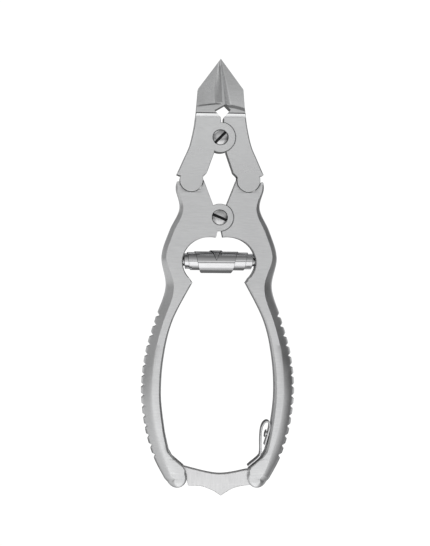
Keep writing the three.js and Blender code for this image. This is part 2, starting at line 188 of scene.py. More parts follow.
def smoothstep(value, low, high):
    """0 below low, 1 above high, and a smooth rise between them."""
    t = np.clip((value - low) / (high - low), 0, 1)
    return t * t * (3 - 2 * t)


# ---- meshes ---------------------------------------------------------------------------------


def new_piece(name, verts, faces):
    """An object from vertices in millimetres from the pivot."""
    mesh = bpy.data.meshes.new(name)
    placed = np.asarray(verts, float) * MM + PIVOT
    mesh.from_pydata(placed.tolist(), [], [list(map(int, face)) for face in faces])
    bm = bmesh.new()
    bm.from_mesh(mesh)
    bmesh.ops.recalc_face_normals(bm, faces=bm.faces)
    bm.to_mesh(mesh)
    bm.free()
    piece = bpy.data.objects.new(name, mesh)
    bpy.context.collection.objects.link(piece)
    return piece


def ring_faces(rings, count):
    """Side faces between rings of equal length."""
    i = np.arange(count)
    j = (i + 1) % count
    return [
        (r * count + a, (r + 1) * count + a, (r + 1) * count + b, r * count + b)
        for r in range(rings - 1)
        for a, b in zip(i, j)
    ]


def flat_ring(points, y):
    """An outline in X and Z, laid at a depth or at one depth for each point."""
    p = np.asarray(points, float)
    return np.column_stack([p[:, 0], np.broadcast_to(y, len(p)), p[:, 1]])


def swept(name, rings):
    """A closed piece through rings of equal length, with a flat face at each end."""
    count = len(rings[0])
    last = (len(rings) - 1) * count
    faces = ring_faces(len(rings), count)
    faces.append(range(count))
    faces.append(range(last + count - 1, last - 1, -1))
    return new_piece(name, np.vstack(rings), faces)


def inward_normals(points):
    """Unit vectors into the outline, longer at corners so that the slope keeps its width."""
    ahead = np.roll(points, -1, axis=0) - points
    behind = points - np.roll(points, 1, axis=0)
    ahead /= np.linalg.norm(ahead, axis=1, keepdims=True)
    behind /= np.linalg.norm(behind, axis=1, keepdims=True)
    both = ahead + behind
    both /= np.linalg.norm(both, axis=1, keepdims=True)
    stretch = 1 / np.clip((both * ahead).sum(1), 0.6, 1)
    return np.column_stack([-both[:, 1], both[:, 0]]) * stretch[:, None]


SHARP_TURN = 0.35  # turn at one point, in radians, that counts as a corner
FASTEST_CHANGE = 0.5  # change of the slope's width along the outline


def eased(points, band):
    """The width of the sloping edge, narrowed towards sharp corners and where it changes fast."""
    ahead = np.roll(points, -1, axis=0) - points
    gaps = np.linalg.norm(ahead, axis=1)
    along = np.concatenate([[0], np.cumsum(gaps)])
    heading = np.arctan2(ahead[:, 1], ahead[:, 0])
    turn = (heading - np.roll(heading, 1) + math.pi) % (2 * math.pi) - math.pi
    band = band.copy()
    for corner in np.flatnonzero(turn > SHARP_TURN):
        away = np.abs(along[:-1] - along[corner])
        away = np.minimum(away, along[-1] - away)
        band = np.minimum(band, 0.02 + 0.8 * away / math.tan(turn[corner] / 2))
    twice_round = [*range(len(band)), *range(len(band))]
    for i in twice_round:
        band[i] = min(band[i], band[i - 1] + FASTEST_CHANGE * gaps[i - 1])
    for i in reversed(twice_round):
        band[i - 1] = min(band[i - 1], band[i] + FASTEST_CHANGE * gaps[i - 1])
    return band


def cap(ring, first, flip):
    """Triangles that close a ring of vertices."""
    flat = [Vector((x, z, 0)) for x, _, z in ring]
    triangles = [[first + i for i in triangle] for triangle in tessellate_polygon([flat])]
    return [triangle[::-1] for triangle in triangles] if flip else triangles


def plate(name, outline, thickness, levels=9):
    """A plate whose edges slope or round as the outline says; thickness is a function of height."""
    points, (wanted, drop, fullness, cut) = outline[:, :2], outline[:, 2:].T
    band = eased(points, wanted)
    drop = drop * np.minimum(1, band / wanted)
    normals = inward_normals(points)
    rings = []
    for side in (-1, 1):
        shares = np.linspace(0, 1, levels)
        for share in shares if side < 0 else shares[::-1]:
            inset = np.maximum(band * (1 - share), cut)
            curved = 1 - math.sqrt(max(0.0, 1 - share**2))
            sunk = drop * ((1 - fullness) * share + fullness * curved)
            placed = points + normals * inset[:, None]
            rings.append(flat_ring(placed, side * (thickness(placed[:, 1]) / 2 - sunk)))
    count = len(points)
    faces = ring_faces(len(rings), count)
    faces += cap(rings[0], 0, False)
    faces += cap(rings[-1], (len(rings) - 1) * count, True)
    return new_piece(name, np.vstack(rings), faces)


def turned(name, profile, x, z, sides=96):
    """A piece turned about an axis along Y, from (radius, y) pairs with y rising."""
    angle = np.linspace(0, 2 * math.pi, sides, endpoint=False)
    circle = np.column_stack([np.cos(angle), np.sin(angle)])
    return swept(name, [flat_ring((x, z) + r * circle, y) for r, y in profile])


def block(name, points, y0, y1):
    """A straight-sided cutting block through an outline in X and Z."""
    return swept(name, [flat_ring(points, y0), flat_ring(points, y1)])


def cross_turned(name, profile, side, z):
    """A piece turned about an axis along X, from (radius, distance outwards) pairs, inner end first."""
    piece = turned(name, profile, 0, 0, 64)
    here = Matrix.Translation(Vector(PIVOT) + Vector((0, 0, z * MM)))
    back = Matrix.Translation(-Vector(PIVOT))
    piece.data.transform(here @ Matrix.Rotation(math.radians(-90 * side), 4, "Z") @ back)
    return piece


def combine(piece, *steps):
    """Applies booleans: each step is an operation and a tool, and the tools are used up."""
    for operation, tool in steps:
        modifier = piece.modifiers.new("cut", "BOOLEAN")
        modifier.operation = operation
        modifier.solver = "MANIFOLD"
        modifier.object = tool
    graph = bpy.context.evaluated_depsgraph_get()
    made = bpy.data.meshes.new_from_object(piece.evaluated_get(graph))
    piece.modifiers.clear()
    piece.data = made
    for _, tool in steps:
        bpy.data.objects.remove(tool)
    return piece


def finish_mesh(piece, angle=28):
    """Smooth faces with crisp edges where the surface turns sharply."""
    bm = bmesh.new()
    bm.from_mesh(piece.data)
    bmesh.ops.remove_doubles(bm, verts=bm.verts, dist=2e-6)
    bmesh.ops.dissolve_degenerate(bm, edges=bm.edges, dist=1e-6)
    for face in bm.faces:
        face.smooth = True
    for e in bm.edges:
        e.smooth = len(e.link_faces) == 2 and e.calc_face_angle(0) < math.radians(angle)
    bm.to_mesh(piece.data)
    bm.free()
    weighted = piece.modifiers.new("flat faces", "WEIGHTED_NORMAL")
    weighted.keep_sharp = True
    weighted.weight = 90
    return piece


# ---- handles --------------------------------------------------------------------------------

OUTER = [
    (-15.1, 12.2), (-15.3, 9.6), (-14.0, 3.0), (-17.5, -4.8), (-20.2, -14.0), (-18.65, -24.6),
    (-22.3, -36.0), (-25.6, -47.5), (-27.0, -60.0), (-25.7, -73.0), (-22.5, -84.0), (-18.5, -91.8),
]
INNER = [
    (-17.0, -82.0), (-18.6, -74.5), (-19.95, -62.0), (-19.1, -48.7), (-16.1, -36.1), (-9.35, -22.85),
]
FOOT = (-14.2, -91.3, 3.6)  # centre and radius of a foot's round end
BAY = (-3.0, SPRING_Z, 9.8, 8.7)  # centre, half width and half height of the bay round the spring
BAY_FOOT = (-10.28, -21.42)  # where the bay ends in a corner above the grip
FLANK = (-2.3, 4.1)  # corner between the head's two inner flanks
SOCKET_LIP = (-5.75, 13.0)  # inner end of the socket's rim
SEAT_R = 3.2  # turned seat in which each end of the spring sits
STUD_R = 1.5
NOTCH_COUNT = 15
NOTCH_PITCH = 3.62
NOTCH_DEPTH = 1.0
NOTCH_MOUTH = 1.75
NOTCH_FLOOR = 0.3
FIRST_NOTCH = 48.5  # distance of the top one from the socket, along the outer edge


def handle_thickness(z):
    return HEAD_T + (FOOT_T - HEAD_T) * np.clip((TAPER_FROM - z) / (TAPER_FROM - FOOT_END), 0, 1)


def outer_edge():
    """The outer edge of a handle: a sloping band that widens down to the grip, and the notches."""
    points = spline(OUTER, 0.17)
    along = np.concatenate([[0], np.cumsum(np.linalg.norm(np.diff(points, axis=0), axis=1))])
    nearest = np.clip(np.round((along - FIRST_NOTCH) / NOTCH_PITCH), 0, NOTCH_COUNT - 1)
    off = np.abs(along - FIRST_NOTCH - nearest * NOTCH_PITCH)
    flank = NOTCH_MOUTH / 2 - NOTCH_FLOOR / 2
    cut = NOTCH_DEPTH * np.clip((NOTCH_MOUTH / 2 - off) / flank, 0, 1)
    z = points[:, 1]
    # the parts of a handle, each reached over a stretch of the depth below the pivot
    horn = smoothstep(-z, -11, 2)
    waist = smoothstep(-z, 12, 28)
    grip = smoothstep(-z, 36, 60)
    foot = smoothstep(-z, 82, 92)
    band = 0.5 + 1.1 * horn + 1.4 * waist + 1.1 * grip - 1.1 * foot
    fullness = 0.15 + 0.65 * smoothstep(-z, 34, 66)
    return edge(points, band, np.clip(0.75 * band, 0.3, 2.4), fullness, cut)


def handle_outline():
    """The left handle, from its socket down the outer edge, round the foot and up the inside."""
    x, z, radius = FOOT
    bay_x, bay_z, wide, tall = BAY
    round_foot = arc(x, z, radius, 208, 385)
    past = np.linspace(0, 1, len(round_foot))
    foot_band = 3.0 - 2.2 * smoothstep(past, 0, 0.45)
    inner = spline(INNER, 0.5)
    crowned = smoothstep(-inner[:, 1], 28, 55)
    return outline_of(
        outer_edge(),
        edge(round_foot, foot_band, np.minimum(0.75 * foot_band, 2.2), 0.8),
        edge(line([(-11.2, -88.6), (-11.9, -87.5), (-15.8, -84.2)], 0.4), 0.3, 0.3),
        edge(inner, 0.45 + 0.35 * crowned, 0.4 + 0.2 * crowned, 0.3 + 0.3 * crowned),
        edge(line([INNER[-1], BAY_FOOT], 0.4), 0.3, 0.3, 0.2),
        edge(arc(bay_x, bay_z, wide, 222, 79.7, 0.4, tall), 0.3, 0.3, 0.2),
        edge(line([(-0.75, -4.9), FLANK, SOCKET_LIP])),
        edge(arc(-KNOB_X, KNOB_Z, KNOB_R + SEAM, -2, -169)),
        edge(line([(-14.15, 12.25), (-14.7, 12.45)], 0.3)),
    )


def lap_tools(side, radius, z):
    """The recess and the boss of one half of a lap joint; the left piece has its boss in front."""
    face, recess_face = (FRONT, BACK) if side < 0 else (BACK, FRONT)
    out = math.copysign(1, recess_face)
    wide = radius + SEAM
    split = -out * LAP_GAP / 2
    chamfer = out * EDGE_BREAK
    recess = [(wide, split), (wide, recess_face - chamfer)]
    recess.append((wide + 2 * EDGE_BREAK, recess_face + chamfer))
    boss = [(radius, split), (radius, face + chamfer), (radius - EDGE_BREAK, face)]
    if out < 0:
        recess.reverse()
    else:
        boss.reverse()
    return [
        ("DIFFERENCE", turned("recess", recess, 0, z, 128)),
        ("UNION", turned("boss", boss, 0, z, 128)),
        ("DIFFERENCE", turned("bore", [(BORE_R, -OUTSIDE), (BORE_R, OUTSIDE)], 0, z, 64)),
    ]


def counterbore(z):
    """The stepped hole that a screw's head lies in, with a chamfered mouth."""
    wide = SCREW_R + 0.1
    profile = [(wide + 0.35, FRONT - 0.2), (wide, FRONT + 0.15), (wide, FRONT + SCREW_HEAD + 0.1)]
    return ("DIFFERENCE", turned("counterbore", profile, 0, z))


def spring_seat(side):
    """The seat for an end of the spring, and the hole that the stud is pressed into."""
    hole_r = STUD_R + 0.1
    seat = cross_turned("seat", [(SEAT_R, 6), (SEAT_R, 13.0)], side, SPRING_Z)
    hole = cross_turned("hole", [(hole_r, 6), (hole_r, 15.7)], side, SPRING_Z)
    return [("DIFFERENCE", seat), ("DIFFERENCE", hole)]


def foot_slot(side):
    """The open slot in the left foot, or the roofed one that the bar's heel turns in."""
    if side < 0:
        points = [(-16.8, -99), (-5, -99), (-5, -85), (-15, -85), (-16.8, -87)]
    else:
        wall, roof = LATCH_X + HEEL_R + 0.7, LATCH_Z + HEEL_R + 0.5
        points = [(5, -99), (wall, -99), (wall, roof - 2), (wall - 2, roof), (5, roof)]
    return ("DIFFERENCE", block("slot", points, -FOOT_SLOT / 2, FOOT_SLOT / 2))


def pin_hole(radius, x, z):
    """A hole from the back of a foot, nearly through to the front."""
    wide = radius + 0.08
    profile = [(wide, -FOOT_T / 2 + 0.7), (wide, FOOT_T / 2 - 0.15), (wide + 0.4, FOOT_T / 2 + 0.25)]
    return ("DIFFERENCE", turned("pin_hole", profile, x, z, 48))


def handle(side):
    name = "left" if side < 0 else "right"
    outline = handle_outline() if side < 0 else mirrored(handle_outline())
    body = plate(f"handle_{name}_forging", outline, handle_thickness, 10)
    pin = (CATCH_R, *CATCH) if side < 0 else (PIN_R, LATCH_X, LATCH_Z)
    steps = [*lap_tools(side, HANDLE_BOSS_R, 0), *spring_seat(side), foot_slot(side), pin_hole(*pin)]
    if side < 0:
        steps.append(counterbore(0))
    combine(body, *steps)
    finish_mesh(body)
    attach(body, f"{name}_handle")
    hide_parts(f"handle_{name}")
    return body


# ---- jaws -----------------------------------------------------------------------------------

SHOULDER = (-7.95, 44.8)
JAW_EDGE = [(-8.75, 35.5), (-9.4, 31.0), (-10.8, 25.0), (-12.8, 20.3), (-15.2, 14.9)]
CROTCH = (-2.1, 22.7)  # top of the window between the jaws
PLATE_TOP = 34.6  # where the flat jaw plate starts to curve up to the lip under the blades
BLADE_FOOT = 36.2  # top of the lip, where the blades start
LIP = 0.26  # how far the lip stands out of the plate
LAND = 3.6  # half thickness of the narrow flat at the foot of the blades
LAND_TILT = 0.08  # slope of the blades at their foot
LAND_CURVE = 0.0031  # how fast that slope grows towards the tip
TIP_HALF = 1.3  # half thickness of the blades at the tip
HOLLOW = {-1: 1.3, 1: 0.8}  # depth of the hollow grind at the foot of each blade
STEP_TALL = {-1: 0.7, 1: 1.3}  # height over which the hollow runs out at its foot
CRESCENT = {-1: (39.4, 0.02), 1: (38.3, 0.045)}  # top of its curved end, and the fall outwards
SEAM_BEVEL = 0.9  # depth of the small bevel along the right blade's edge
DIAMOND_TOP = (1.5, 39.4)  # the opening between the feet of the blades
DIAMOND_LEFT = (-2.2, 37.3)
DIAMOND_RIGHT = (3.5, 37.5)
NECK = (0.05, 1.05)  # the narrow slit below that opening
NECK_Z = 34.8
NECK_FOOT = 32.9
CLOSED_GAP = 0.03  # half the gap between the closed blades
GRIND_STEP = 0.12  # spacing of the points on the ground faces


def jaw_outline(side):
    """One jaw: both have the same tail and shoulder, and the seam between them leans."""
    tail = [
        edge(line([SHOULDER, (-8.55, 37.0)]), 0.2, 0.2),
        edge(spline(JAW_EDGE, 0.5), 0.4, 0.35, 0.5),
        edge(line([JAW_EDGE[-1], (-13.95, 14.4)], 0.5)),
        edge(arc(-KNOB_X, KNOB_Z, KNOB_R, 160.5, 374)),
        edge(line([(-5.85, 14.35), (-4.6, 15.6), CROTCH])),
        edge(line([CROTCH, (CROTCH[0], 24.5)])),
    ]
    top_x, top_z = DIAMOND_TOP
    tip = (side * CLOSED_GAP, TIP_Z)
    top = (top_x + side * CLOSED_GAP, top_z)
    if side < 0:
        inner = [(NECK[0], NECK_FOOT), (NECK[0], NECK_Z), DIAMOND_LEFT, top, tip]
        return outline_of(*tail, edge(line(inner)), edge(line([tip, SHOULDER])))
    inner = [tip, top, DIAMOND_RIGHT, (NECK[1], NECK_Z), (NECK[1], NECK_FOOT)]
    shoulder = (-SHOULDER[0], SHOULDER[1])
    tail = [mirrored(stretch) for stretch in reversed(tail)]
    return outline_of(edge(line([shoulder, tip])), edge(line(inner)), *tail)


def seam_x(z):
    """Where the closed edges meet at a height."""
    return DIAMOND_TOP[0] * np.clip((TIP_Z - z) / (TIP_Z - DIAMOND_TOP[1]), 0, 1)


def crescent_top(x, side):
    """Height of the curved end of the hollow grind across a jaw."""
    top, fall = CRESCENT[side]
    away = side * (x - DIAMOND_TOP[0])
    return top - fall * np.maximum(away, 0) ** 1.75


def hollow_depth(off, down, side):
    """How far the ground face lies below the land.

    off is the distance from the seam, and down runs from 0 at the tip to 1 at the blade's foot.
    The right blade is flat with a bevel along the seam. The left one is hollow: it deepens steeply
    beside the seam and fades outwards.
    """
    if side > 0:
        bevel = SEAM_BEVEL * (1 - np.clip(off / (0.3 + 2.4 * down), 0, 1)) ** 1.6
        return down * bevel + HOLLOW[side] * (1 + down) / 2
    rise = 1 - (1 - np.clip((off - 0.2 - 0.9 * down) / (0.3 + 6.0 * down), 0, 1)) ** 2
    fade = 1 - 0.9 * np.clip((off - 3.5) / 6.0, 0, 1)
    return HOLLOW[side] * (1 + down) / 2 * rise * fade


def blade_front(x, z, side):
    """Depth of the front: a lip at the top of the plate, a narrow land, and the hollow blade."""
    climb = np.clip((z - PLATE_TOP) / (BLADE_FOOT - PLATE_TOP), 0, 1)
    plate_face = BACK + LIP * climb**1.8
    down = np.clip((TIP_Z - z) / (TIP_Z - BLADE_FOOT), 0, 1)
    off = side * (x - seam_x(z))
    ground = smoothstep(z - crescent_top(x, side), 0.0, STEP_TALL[side])
    height = z - BLADE_FOOT
    land = LAND - LAND_TILT * height - LAND_CURVE * height**2
    return np.where(z < BLADE_FOOT, plate_face, land - ground * hollow_depth(off, down, side))


def blade_back(x, z, side):
    """Depth of the ground back face, the same on both jaws and all across them."""
    slope = (BACK - TIP_HALF) / (TIP_Z - BLADE_FOOT)
    return BACK - slope * np.maximum(z - BLADE_FOOT, 0)


def grind_tool(name, depth, side, out):
    """A block that takes all outside a blade face: out is -1 for the front, 1 for the back."""
    near, far = (-12.0, 2.5) if side < 0 else (-1.0, 12.0)
    xs = np.arange(near, far, GRIND_STEP)
    lip_zs = np.arange(PLATE_TOP - 0.3, BLADE_FOOT, 0.1)
    zs = np.concatenate([lip_zs, np.arange(BLADE_FOOT, TIP_Z + 1, GRIND_STEP)])
    x, z = np.meshgrid(xs, zs, indexing="ij")
    y = out * depth(x, z, side)
    y[z < PLATE_TOP] = out * (BACK + 0.05)
    top = np.column_stack([x.ravel(), y.ravel(), z.ravel()])
    grid = np.arange(x.size).reshape(x.shape)
    quads = np.stack([grid[:-1, :-1], grid[1:, :-1], grid[1:, 1:], grid[:-1, 1:]], -1)
    faces = quads.reshape(-1, 4).tolist()
    rim = np.concatenate([grid[:-1, 0], grid[-1, :-1], grid[:0:-1, -1], grid[0, :0:-1]])
    base = top[rim].copy()
    base[:, 1] = out * OUTSIDE
    first = len(top)
    for i in range(len(rim)):
        j = (i + 1) % len(rim)
        faces.append((rim[i], first + i, first + j, rim[j]))
    faces.append(range(first, first + len(rim)))
    return new_piece(name, np.vstack([top, base]), faces)


def jaw(side):
    name = "left" if side < 0 else "right"
    body = plate(f"jaw_{name}_forging", jaw_outline(side), lambda z: np.full_like(z, HEAD_T), 8)
    lip = plate("lip", jaw_outline(side), lambda z: np.full_like(z, HEAD_T + 2 * LIP), 8)
    roof = BLADE_FOOT + 0.1
    room = [(-12, PLATE_TOP), (12, PLATE_TOP), (12, roof), (-12, roof)]
    combine(lip, ("INTERSECT", block("lip_room", room, -6, 1)))
    front = grind_tool("grind_front", blade_front, side, -1)
    back = grind_tool("grind_back", blade_back, side, 1)
    steps = [("UNION", lip), ("DIFFERENCE", front), ("DIFFERENCE", back)]
    steps += lap_tools(side, JAW_BOSS_R, JAW_PIVOT)
    if side < 0:
        steps.append(counterbore(JAW_PIVOT))
    combine(body, *steps)
    finish_mesh(body, 24)
    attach(body, f"{name}_jaw")
    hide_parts(f"jaw_{name}")
    return body


# ---- screws, pins and studs -----------------------------------------------------------------


def pivot_screw(name, node, body, z):
    """A slotted screw: a low domed head, a shank and a rounded end that shows at the back."""
    dome = [
        (SCREW_R * math.sin(a), FRONT - SCREW_PROUD + DOME_RISE * (1 - math.cos(a)))
        for a in np.linspace(0.02, 1.25, 12)
    ]
    head = [(SCREW_R - 0.06, FRONT + 0.08), (SCREW_R, FRONT + 0.25), (SCREW_R, FRONT + SCREW_HEAD)]
    shank = [(SCREW_SHANK, FRONT + SCREW_HEAD), (SCREW_SHANK, BACK + 0.1)]
    end = [(1.55, BACK + 0.25), (1.2, BACK + 0.33), (0.05, BACK + 0.35)]
    piece = turned(name, [*dome, *head, *shank, *end], 0, z)
    angle = math.radians(SCREW_TURN[name])
    along = np.array([math.cos(angle), math.sin(angle)]) * 1.3 * SCREW_R
    across = np.array([-math.sin(angle), math.cos(angle)]) * SCREW_SLOT / 2
    corners = [(0, z) + u * along + v * across for u, v in ((-1, -1), (1, -1), (1, 1), (-1, 1))]
    slot = block("slot", corners, FRONT - 2, FRONT + SLOT_DEPTH)
    combine(piece, ("DIFFERENCE", slot))
    finish_mesh(piece)
    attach(piece, body)
    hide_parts(node)
    return piece


def spring_stud(side):
    """A stud that holds one end of the spring, from its rounded nose outwards."""
    name = "left" if side < 0 else "right"
    nose = [(STUD_R - 0.3, 10.6), (STUD_R - 0.05, 10.75), (STUD_R, 11.0)]
    profile = [*nose, (STUD_R, 15.5), (STUD_R - 0.1, 15.6)]
    piece = finish_mesh(cross_turned(f"spring_stud_{name}_turned", profile, side, SPRING_Z))
    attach(piece, f"{name}_handle")
    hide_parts(f"spring_stud_{name}")
    return piece


def foot_pin(name, node, body, radius, x, z):
    """A pin driven in from the back of a foot, its end just below the surface."""
    start, end = 0.85 - FOOT_T / 2, FOOT_T / 2 - 0.08
    profile = [(radius - 0.1, start), (radius, start + 0.15), (radius, end - 0.2), (radius - 0.2, end)]
    piece = finish_mesh(turned(name, profile, x, z, 48))
    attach(piece, body)
    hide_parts(node)
    return piece


# ---- barrel spring --------------------------------------------------------------------------

SPRING_TURNS = 3.5
SPRING_MIDDLE = -0.9  # where the sheet starts in a point, from the middle of the tool
SPRING_START = 0.1  # how far that point is turned up from the front, in radians
SPRING_T = 0.25
SPRING_R = 4.05  # outer radius at the middle
FIRST_STEP = 0.52  # by how much the second turn is smaller than the first
TIGHTENING = 0.44  # by how much each turn after that is smaller than the one before
INNER_RISE = 0.32  # how far the inner turns lie above the first one
LEG_W = 7.0  # width of the two legs that the sheet divides into
LEG_SETTLE = {-1: 1.3, 1: 1.9}  # turns in which the left and the right leg move outwards
SHEET_CORNER = 0.1  # bevel along the sheet's edges


def spring_leg(side):
    """Half of the spring: the sheet starts in a point, widens inwards, and runs on as a leg."""
    turns = np.linspace(0.004, SPRING_TURNS, 253)
    angle = SPRING_START + 2 * math.pi * turns
    step = FIRST_STEP * smoothstep(turns, 0.6, 1.2)
    outer = SPRING_R - step - TIGHTENING * np.maximum(0, turns - 1.2)
    middle_z = SPRING_Z + INNER_RISE * smoothstep(turns, 0.9, 1.6)
    settle = LEG_SETTLE[side]
    full = SPRING_HALF - side * SPRING_MIDDLE
    out = full * (1 - np.exp(-turns / settle)) / (1 - math.exp(-SPRING_TURNS / settle))
    near = np.maximum(out - LEG_W, 0) * smoothstep(turns, 2.0, 2.6) - 0.02
    corner = np.minimum(SHEET_CORNER, (out - near) / 3)
    split = np.clip(near, 0.001, corner)
    section = [
        (0, near + split), (0, out - corner), (corner, out), (SPRING_T - corner, out),
        (SPRING_T, out - corner), (SPRING_T, near + split), (SPRING_T - split, near), (split, near),
    ]
    lines = [
        np.column_stack([
            SPRING_MIDDLE + side * x,
            -(outer - depth) * np.cos(angle),
            middle_z + (outer - depth) * np.sin(angle),
        ])
        for depth, x in section
    ]
    return swept("barrel_spring_sheet", np.stack(lines, 1))


def barrel_spring():
    piece = finish_mesh(combine(spring_leg(-1), ("UNION", spring_leg(1))))
    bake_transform(piece)
    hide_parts("barrel_spring")
    return piece


# ---- closing bar ----------------------------------------------------------------------------

BAR_STEP = (-10.1, -94.4)
BAR_POINT = (1.4, -97.9)


def latch_bar():
    """The bar: heel, top edge, the hook that holds the catch pin, and the underside with its point."""
    outline = outline_of(
        edge(arc(LATCH_X, LATCH_Z, HEEL_R, -90, 90), 0.25, 0.25, 0.6),
        edge(spline([(10.4, -88.75), (0.2, -90.2), (-12.1, -87.5)], 0.4), 0.22, 0.22, 0.5),
        edge(arc(*CATCH, 1.3, 0, -90, 0.2)),
        edge(line([(-15.7, -89.75), (-15.8, -91.0), (-15.2, -91.8), (-10.75, -92.0), BAR_STEP], 0.5)),
        edge(spline([BAR_STEP, (-5.6, -94.6), (-1.3, -96.2), BAR_POINT], 0.4), 0.22, 0.22, 0.5),
        edge(spline([BAR_POINT, (5.1, -95.6), (8.3, -94.6), (11.2, -94.2)], 0.4), 0.22, 0.22, 0.5),
    )
    piece = plate("latch_bar_blank", outline, lambda z: np.full_like(z, BAR_T), 6)
    eye = [(PIN_R + 0.1, -BAR_T), (PIN_R + 0.1, BAR_T)]
    combine(piece, ("DIFFERENCE", turned("eye", eye, LATCH_X, LATCH_Z, 48)))
    finish_mesh(piece)
    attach(piece, "latch")
    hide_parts("latch_bar")
    return piece


LEAF = [
    (10.9, -87.5), (11.8, -86.7), (14.6, -84.3), (15.3, -82.6), (15.3, -78.2), (15.5, -74.8),
    (16.1, -72.8), (17.1, -71.7), (18.1, -71.8), (18.5, -73.0), (18.2, -75.0), (17.5, -77.6),
    (16.8, -80.0),
]
LEAF_HALF_T = 0.3
LEAF_HALF_W = 2.0
LEAF_CORNER = 0.15
RIVET = (18.0, -76.2)
RIVET_AXIS = (0.975, 0, -0.22)  # outwards, square to the grip


def latch_spring():
    """The leaf that bears on the bar's heel: a strip along a path, bent back at its rivet."""
    path = spline(LEAF, 0.25)
    tangent = np.gradient(path, axis=0)
    tangent /= np.linalg.norm(tangent, axis=1, keepdims=True)
    normal = np.column_stack([tangent[:, 1], -tangent[:, 0]])
    thick, wide = LEAF_HALF_T, LEAF_HALF_W
    thin, narrow = thick - LEAF_CORNER, wide - LEAF_CORNER
    section = [
        (thick, -narrow), (thin, -wide), (-thin, -wide), (-thick, -narrow),
        (-thick, narrow), (-thin, wide), (thin, wide), (thick, narrow),
    ]
    lines = [flat_ring(path + n * normal, y) for n, y in section]
    piece = finish_mesh(swept("latch_spring_leaf", np.stack(lines, 1)))
    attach(piece, "right_handle")
    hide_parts("latch_spring")
    return piece


def latch_rivet():
    """The rivet that holds the leaf to the right grip."""
    profile = [(0.7, -1.4), (1.15, -1.33), (1.4, -1.1), (1.4, -0.88), (0.8, -0.86), (0.8, 3.0)]
    piece = turned("latch_spring_rivet_turned", profile, 0, 0, 48)
    turn = Vector((0, 1, 0)).rotation_difference(Vector(RIVET_AXIS)).to_matrix().to_4x4()
    place = Vector(PIVOT) + Vector((RIVET[0], 0, RIVET[1])) * MM
    piece.data.transform(Matrix.Translation(place) @ turn @ Matrix.Translation(-Vector(PIVOT)))
    finish_mesh(piece)
    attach(piece, "right_handle")
    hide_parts("latch_spring_rivet")
    return piece


handle_left = handle(-1)
handle_right = handle(1)
jaws = [jaw(-1), jaw(1)]
screws = [
    pivot_screw("handle_screw", "handle_pivot_screw", "right_handle", 0),
    pivot_screw("jaw_screw", "jaw_pivot_screw", "right_jaw", JAW_PIVOT),
]
studs = [spring_stud(-1), spring_stud(1)]
pins = [
    foot_pin("catch_pin_turned", "catch_pin", "left_handle", CATCH_R, *CATCH),
    foot_pin("latch_pin_turned", "latch_pivot_pin", "right_handle", PIN_R, LATCH_X, LATCH_Z),
]
spring = barrel_spring()
bar = latch_bar()
leaf = latch_spring()
rivet = latch_rivet()

# ---- steels ---------------------------------------------------------------------------------

NOISE_RANGE = (0.3, 0.7)  # where most of a noise lies
SCRATCH_DEPTH = 0.00002  # metres


def ranged(tree, value, source, result=(0.0, 1.0), smooth=False):
    """A value mapped from one range to another."""
    node = tree.nodes.new("ShaderNodeMapRange")
    if smooth:
        node.interpolation_type = "SMOOTHSTEP"
    for end, number in zip(("From Min", "From Max", "To Min", "To Max"), (*source, *result)):
        node.inputs[end].default_value = number
    tree.links.new(value, node.inputs["Value"])
    return node.outputs["Result"]


def noise(tree, where, scale, detail, roughness=0.5):
    """A noise over a direction or a place."""
    node = tree.nodes.new("ShaderNodeTexNoise")
    node.inputs["Scale"].default_value = scale
    node.inputs["Detail"].default_value = detail
    node.inputs["Roughness"].default_value = roughness
    tree.links.new(where, node.inputs["Vector"])
    return node.outputs["Fac"]


def steel(name, color, roughness, stretch, grain, relief):
    """Metal with fine brushing: stretch is how the scratches run, grain their density per metre."""
    material = bpy.data.materials.new(name)
    material.use_nodes = True
    tree = material.node_tree
    nodes, links = tree.nodes, tree.links
    shader = nodes["Principled BSDF"]
    shader.inputs["Metallic"].default_value = 1.0
    where = nodes.new("ShaderNodeTexCoord").outputs["Object"]
    scale = nodes.new("ShaderNodeMapping")
    scale.inputs["Scale"].default_value = stretch
    links.new(where, scale.inputs["Vector"])
    scratches = noise(tree, scale.outputs["Vector"], grain, 6, 0.65)
    cloud = noise(tree, where, 160, 3)
    tint = nodes.new("ShaderNodeVectorMath")
    tint.operation = "SCALE"
    tint.inputs[0].default_value = color
    links.new(ranged(tree, scratches, NOISE_RANGE, (0.93, 1.05)), tint.inputs["Scale"])
    links.new(tint.outputs["Vector"], shader.inputs["Base Color"])
    rough = ranged(tree, cloud, NOISE_RANGE, (roughness - 0.04, roughness + 0.04))
    links.new(rough, shader.inputs["Roughness"])
    bump = nodes.new("ShaderNodeBump")
    bump.inputs["Strength"].default_value = relief
    bump.inputs["Distance"].default_value = SCRATCH_DEPTH
    links.new(scratches, bump.inputs["Height"])
    links.new(bump.outputs["Normal"], shader.inputs["Normal"])
    return material


satin = steel("satin_steel", (0.70, 0.705, 0.71), 0.34, (0.12, 1, 1), 2600, 0.25)
ground = steel("jaw_steel", (0.70, 0.705, 0.71), 0.24, (0.12, 1, 1), 3000, 0.2)
turned_steel = steel("screw_steel", (0.55, 0.55, 0.555), 0.24, (1, 1, 1), 1800, 0.3)
wound = steel("spring_steel", (0.66, 0.66, 0.67), 0.12, (0.2, 1, 1), 2200, 0.2)
bar_steel = steel("bar_steel", (0.74, 0.74, 0.745), 0.34, (1, 1, 0.12), 2600, 0.25)
# painted shade: a near-black steel for the walls of seams, sockets, screw gaps and slots, where shade
# falls
gap_shade = steel("gap_painted_shade", (0.04, 0.04, 0.042), 0.5, (1, 1, 1), 900, 0.3)
# painted shade: a dark grey steel for the spring sheet's edges, standing in for the shadowed gaps
# between its turns
spring_edge_shade = steel("spring_edge_shade", (0.2, 0.2, 0.205), 0.4, (1, 1, 1), 900, 0.3)


def paint(material, *pieces):
    """One steel all over each piece."""
    for piece in pieces:
        piece.data.materials.clear()
        piece.data.materials.append(material)


